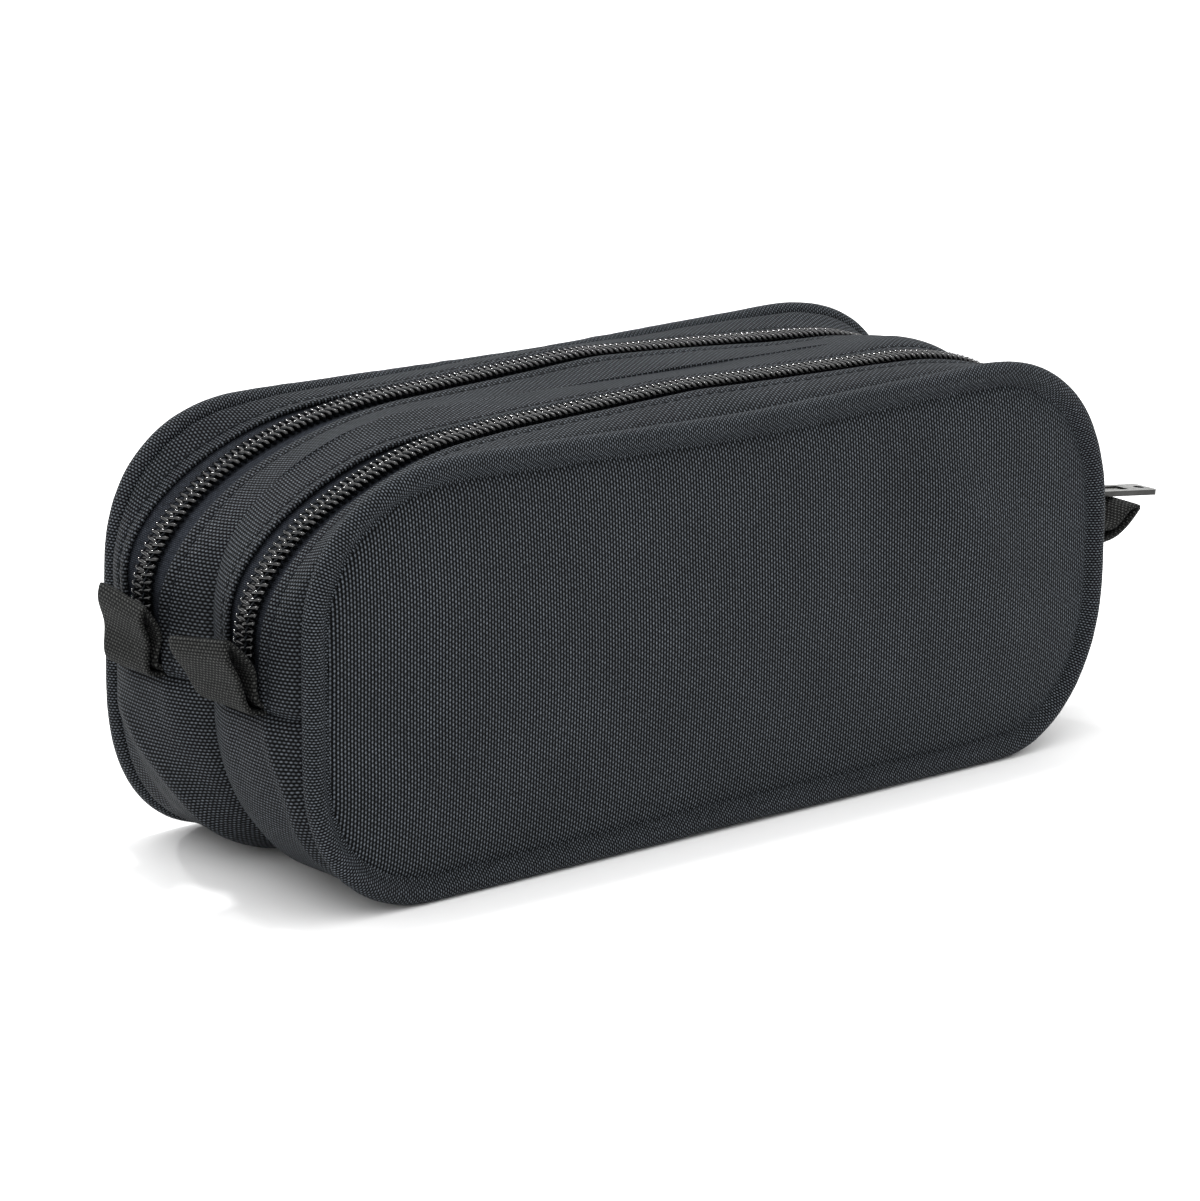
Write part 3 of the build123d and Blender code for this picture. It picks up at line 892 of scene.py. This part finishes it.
def coil(side, name, toward):
    """One row: a flattened helix of monofilament with its heads at the zip's centre line, and the
    thread that sews it to the tape. toward is +1 for the row nearer the panel."""
    line, away, middle = zip_path(side, COIL_Z[0])
    travel = along(line)
    half = (COIL_HALF + HEAD_REACH) / 2 - FILAMENT
    centre = (COIL_HALF - HEAD_REACH) / 2
    rise = (COIL_CROWN + TAPE_DEPTH) / 2 - FILAMENT
    start = 0 if toward > 0 else np.pi

    def placed(s, height, reach):
        """Points at distances s along the zip, at heights over the band and reaches from the zip's line."""
        x, z = np.interp(s, travel, line[:, 0]), np.interp(s, travel, line[:, 1])
        nx, nz = np.interp(s, travel, away[:, 0]), np.interp(s, travel, away[:, 1])
        d = np.interp(s, travel, middle) + toward * reach
        heading = np.stack([np.gradient(x), np.zeros_like(x), np.gradient(z)], 1)
        return np.stack([x + nx * height, SIDES[side] * d, z + nz * height], 1), heading

    step = np.arange(int(travel[-1] / COIL_PITCH) * TURN_POINTS + 1) / TURN_POINTS
    phase = 2 * np.pi * step + start
    swing = np.sign(np.cos(phase)) * np.abs(np.cos(phase)) ** 0.75
    lift = np.sign(np.sin(phase)) * np.abs(np.sin(phase)) ** 0.55
    points, heading = placed(np.clip(step * COIL_PITCH, 0, travel[-1]),
                             (COIL_CROWN - TAPE_DEPTH) / 2 + rise * lift, centre - half * swing)
    head = FILAMENT * (1 + 0.12 * np.clip(swing, 0, 1) ** 6)
    helix = tube(points, heading, head, 8)

    s = np.arange(0, travel[-1], COIL_PITCH / 6)
    wave = 0.5 - 0.5 * np.cos(2 * np.pi * s / COIL_PITCH + start)
    points, _ = placed(s, COIL_CROWN - 0.4 + 0.36 * wave, centre + half * SEWING)
    thread = tube(points, np.broadcast_to([0.0, 1.0, 0.0], points.shape), THREAD_RADIUS, 6)

    verts, faces, uvs = merged([helix, thread])
    piece = make(f"{side}_{name}_coil_nylon", verts, faces, uvs, COIL_NYLON, "zip_coil",
                 [f"{side}_zip_{name}_coil"])
    piece.data.materials.append(THREAD)
    index = np.zeros(len(faces), np.int32)
    index[len(helix[1]):] = 1
    piece.data.polygons.foreach_set("material_index", index)


# ---- webbing tabs ----
def bent(points, count):
    """A smooth line (Hermite cubics) through a few points, with count points on it."""
    points = np.asarray(points, float)
    knots = along(points)
    s = np.linspace(0, knots[-1], 200)
    out = []
    for k in range(points.shape[1]):
        slope = np.gradient(points[:, k], knots)
        i = np.clip(np.searchsorted(knots, s) - 1, 0, len(knots) - 2)
        h = knots[i + 1] - knots[i]
        t = (s - knots[i]) / h
        a, b = points[i, k], points[i + 1, k]
        out.append((2 * t ** 3 - 3 * t ** 2 + 1) * a + (t ** 3 - 2 * t ** 2 + t) * h * slope[i]
                   + (-2 * t ** 3 + 3 * t ** 2) * b + (t ** 3 - t ** 2) * h * slope[i + 1])
    dense = np.stack(out, 1)
    return np.vstack([evenly(dense, count - 1), dense[-1:]])


TAB_COLUMNS, TAB_POINTS = 25, 90            # across a tab, and along it
TUCK_ROOT = {"front": 3.3, "back": 5.0}     # how far back the left tabs' front edges lie at their roots,
TUCK_TIP = 1.6                              # and at their tips
TAB_ROOT = (END_X + 1.1, SEAM_Z + WEBBING)  # where a tab leaves the seam, in distance outwards and Z


def tab(side, end, inner_tip, outer_tip, bulges):
    """A webbing loop: out of the seam, up to its fold, and back down into the seam.
    The tips are the fold's two ends, at the divider's side and at the panel's side."""
    out = {"left": -1, "right": 1}[end]
    node = f"{side}_{end}_tab"
    y0, y1 = spans(node)[1]
    near, far = sorted((abs(y0), abs(y1)))
    outer, inner = [], []
    for share in np.linspace(0, 1, TAB_COLUMNS):
        tip = np.array(inner_tip) * (1 - share) + np.array(outer_tip) * share
        path = tab_path(out, tip, bulges)
        slope = np.gradient(path, axis=0)
        slope /= np.linalg.norm(slope, axis=1)[:, None]
        normal = np.stack([slope[:, 1], -slope[:, 0]], 1) * out
        half = WEBBING / 2 * (1 - 0.3 * np.exp(-min(share, 1 - share) / 0.03))
        low = 1 - np.clip((path[:, 1] - TAB_ROOT[1]) / (tip[1] - TAB_ROOT[1]), 0, 1)
        front_edge = share if side == "front" else 1 - share
        tuck = front_edge * (TUCK_TIP + (TUCK_ROOT[side] - TUCK_TIP) * low) * (end == "left")
        y = SIDES[side] * (near + (far - near) * share) + tuck
        for store, shift in ((outer, half), (inner, -half)):
            moved = path + normal * shift
            store.append(np.stack([moved[:, 0], y, moved[:, 1]], 1))
    make(f"{node}_webbing", *slab(np.array(outer), np.array(inner), False), WEBBING_CLOTH, "webbing", [node])


def tab_path(out, tip, bulges):
    """The middle of the webbing in X and Z, from one sewn-in tail to the other. bulges are how far its
    lower and upper layers belly out half way to the tip."""
    root = np.array([out * TAB_ROOT[0], TAB_ROOT[1]])
    span = np.linalg.norm(tip - root)
    e = (tip - root) / span
    n = np.array([e[1], -e[0]]) * out
    r = 0.75                                # how far each layer's middle lies from the loop's
    tail, seam = out * (END_X - 6), out * (END_X - 0.6)
    under, over = SEAM_Z + 0.2, SEAM_Z + 1.5
    middle, turn = root + e * span * 0.5, tip - e * 1.4
    lower, upper = bulges
    route = [(tail, under), (seam, under), root + n * r, middle + n * (lower + r), turn + n * r, tip,
             turn - n * r, middle - n * (upper + r), root - n * r + [0, 0.8], (seam, over), (tail, over)]
    return bent([tuple(p) for p in route], TAB_POINTS)


# ---- the camera, floor and light ----
VIEW_AZIMUTH, VIEW_ELEVATION, VIEW_ROLL = -39.79, 14.78, 0.49      # degrees; azimuth from -Y towards +X
VIEW_DISTANCE = 909.65
VIEW_TARGET = (-4.31, 3.44, 40.0)
LENS = 133.63                               # on a sensor 36 mm wide


def bearing(azimuth, elevation):
    """The direction from the bag towards a camera or light; angles in degrees."""
    a, e = np.radians([azimuth, elevation])
    return Vector((np.sin(a) * np.cos(e), -np.cos(a) * np.cos(e), np.sin(e)))


def camera():
    """The camera, rolled a little about its own axis."""
    roll = np.radians(VIEW_ROLL)
    back = bearing(VIEW_AZIMUTH, VIEW_ELEVATION)
    right = (-back).cross(Vector((0, 0, 1))).normalized()
    up = right.cross(-back)
    tilted = right * np.cos(roll) + up * np.sin(roll)
    upright = -right * np.sin(roll) + up * np.cos(roll)
    data = bpy.data.cameras.new("camera")
    data.lens = LENS
    data.sensor_width = 36
    data.clip_end = 20
    obj = bpy.data.objects.new("camera", data)
    turn = Matrix((tilted, upright, back)).transposed().to_4x4()
    obj.matrix_world = Matrix.Translation((Vector(VIEW_TARGET) + back * VIEW_DISTANCE) * MM) @ turn
    bpy.context.scene.collection.objects.link(obj)
    bpy.context.scene.camera = obj


def floor():
    """A wide pale floor."""
    half = 6000
    verts = [(-half, -half, 0), (half, -half, 0), (half, half, 0), (-half, half, 0)]
    mesh = bpy.data.meshes.new("floor")
    mesh.from_pydata((np.array(verts) * MM).tolist(), [], [(0, 1, 2, 3)])
    obj = bpy.data.objects.new("floor", mesh)
    n = Nodes("floor_paper")
    mesh.materials.append(n.finish(Base_Color=(0.9, 0.9, 0.9, 1), Roughness=0.9, Specular_IOR_Level=0.1))
    bpy.context.scene.collection.objects.link(obj)


BAG_MIDDLE = Vector((0, 0, 0.04))           # in metres


def softbox(name, azimuth, elevation, distance, size, power):
    """A square area light aimed at the bag's middle; distance and size in metres, power in watts."""
    back = bearing(azimuth, elevation)
    data = bpy.data.lights.new(name, "AREA")
    data.size = size
    data.energy = power
    obj = bpy.data.objects.new(name, data)
    obj.matrix_world = (Matrix.Translation(back * distance + BAG_MIDDLE)
                        @ back.to_track_quat("Z", "Y").to_matrix().to_4x4())
    bpy.context.scene.collection.objects.link(obj)


SKY = (0.4, 2.1)                            # its brightness at the horizon and overhead


def light():
    """A sky that brightens upwards, a broad light overhead, a small one that gives the coils their
    sparkle, a low one behind for their far edges, and a soft one in front."""
    world = bpy.data.worlds.new("studio")
    world.use_nodes = True
    tree = world.node_tree
    sky = tree.nodes["Background"]
    sky.inputs[0].default_value = (1, 1, 1, 1)
    direction = tree.nodes.new("ShaderNodeTexCoord")
    height = tree.nodes.new("ShaderNodeSeparateXYZ")
    bright = tree.nodes.new("ShaderNodeMapRange")
    tree.links.new(direction.outputs["Generated"], height.inputs[0])
    tree.links.new(height.outputs[2], bright.inputs[0])
    bright.inputs[3].default_value, bright.inputs[4].default_value = SKY
    tree.links.new(bright.outputs[0], sky.inputs[1])
    bpy.context.scene.world = world
    bpy.context.scene.view_settings.view_transform = "Standard"
    softbox("overhead", 140, 82, 3.2, 3.0, 15)
    softbox("key", -160, 82, 1.8, 0.16, 14)
    softbox("rim", 180, 30, 1.8, 0.1, 7)
    softbox("front", -50, 35, 2.4, 1.6, 6)


# ---- the bag ----
# Each tab's folded tip at the divider's side and at the panel's side, in X and Z, and its bulges.
TABS = {
    ("front", "left"): ((-116.4, 53.1), (-115.9, 55.9), (0.3, 1.8)),
    ("back", "left"): ((-112.6, 54.9), (-110.4, 56.0), (-0.3, 1.7)),
    ("front", "right"): ((122.8, 47.0), (123.3, 46.4), (1.8, -1.3)),
    ("back", "right"): ((122.4, 47.2), (122.0, 46.6), (1.4, -0.6)),
}


def finished(node, material, round_off):
    """A CAD node with its material and its edges rounded."""
    obj = frame["nodes"][node]
    obj.data.materials.clear()
    obj.data.materials.append(material)
    edge = obj.modifiers.new("edges", "BEVEL")
    edge.width = round_off * MM
    edge.segments = 3
    edge.limit_method = "ANGLE"
    edge.harden_normals = True


def bag():
    """Both halves and the divider between them."""
    for side in SIDES:
        panel(side)
        piping(side)
        binding(side)
        strip(side, "outer", 1, DITCH_D)
        strip(side, "inner", -1, MEETING)
        lower_gusset(side)
        tape(side, "outer", 1)
        tape(side, "inner", -1)
        coil(side, "outer", 1)
        coil(side, "inner", -1)
        for end in ("left", "right"):
            tab(side, end, *TABS[side, end])
        finished(f"{side}_slider", SLIDER_METAL, 0.25)
        finished(f"{side}_puller", PULLER_METAL, 0.35)
    divider()


bag()
floor()
light()
camera()
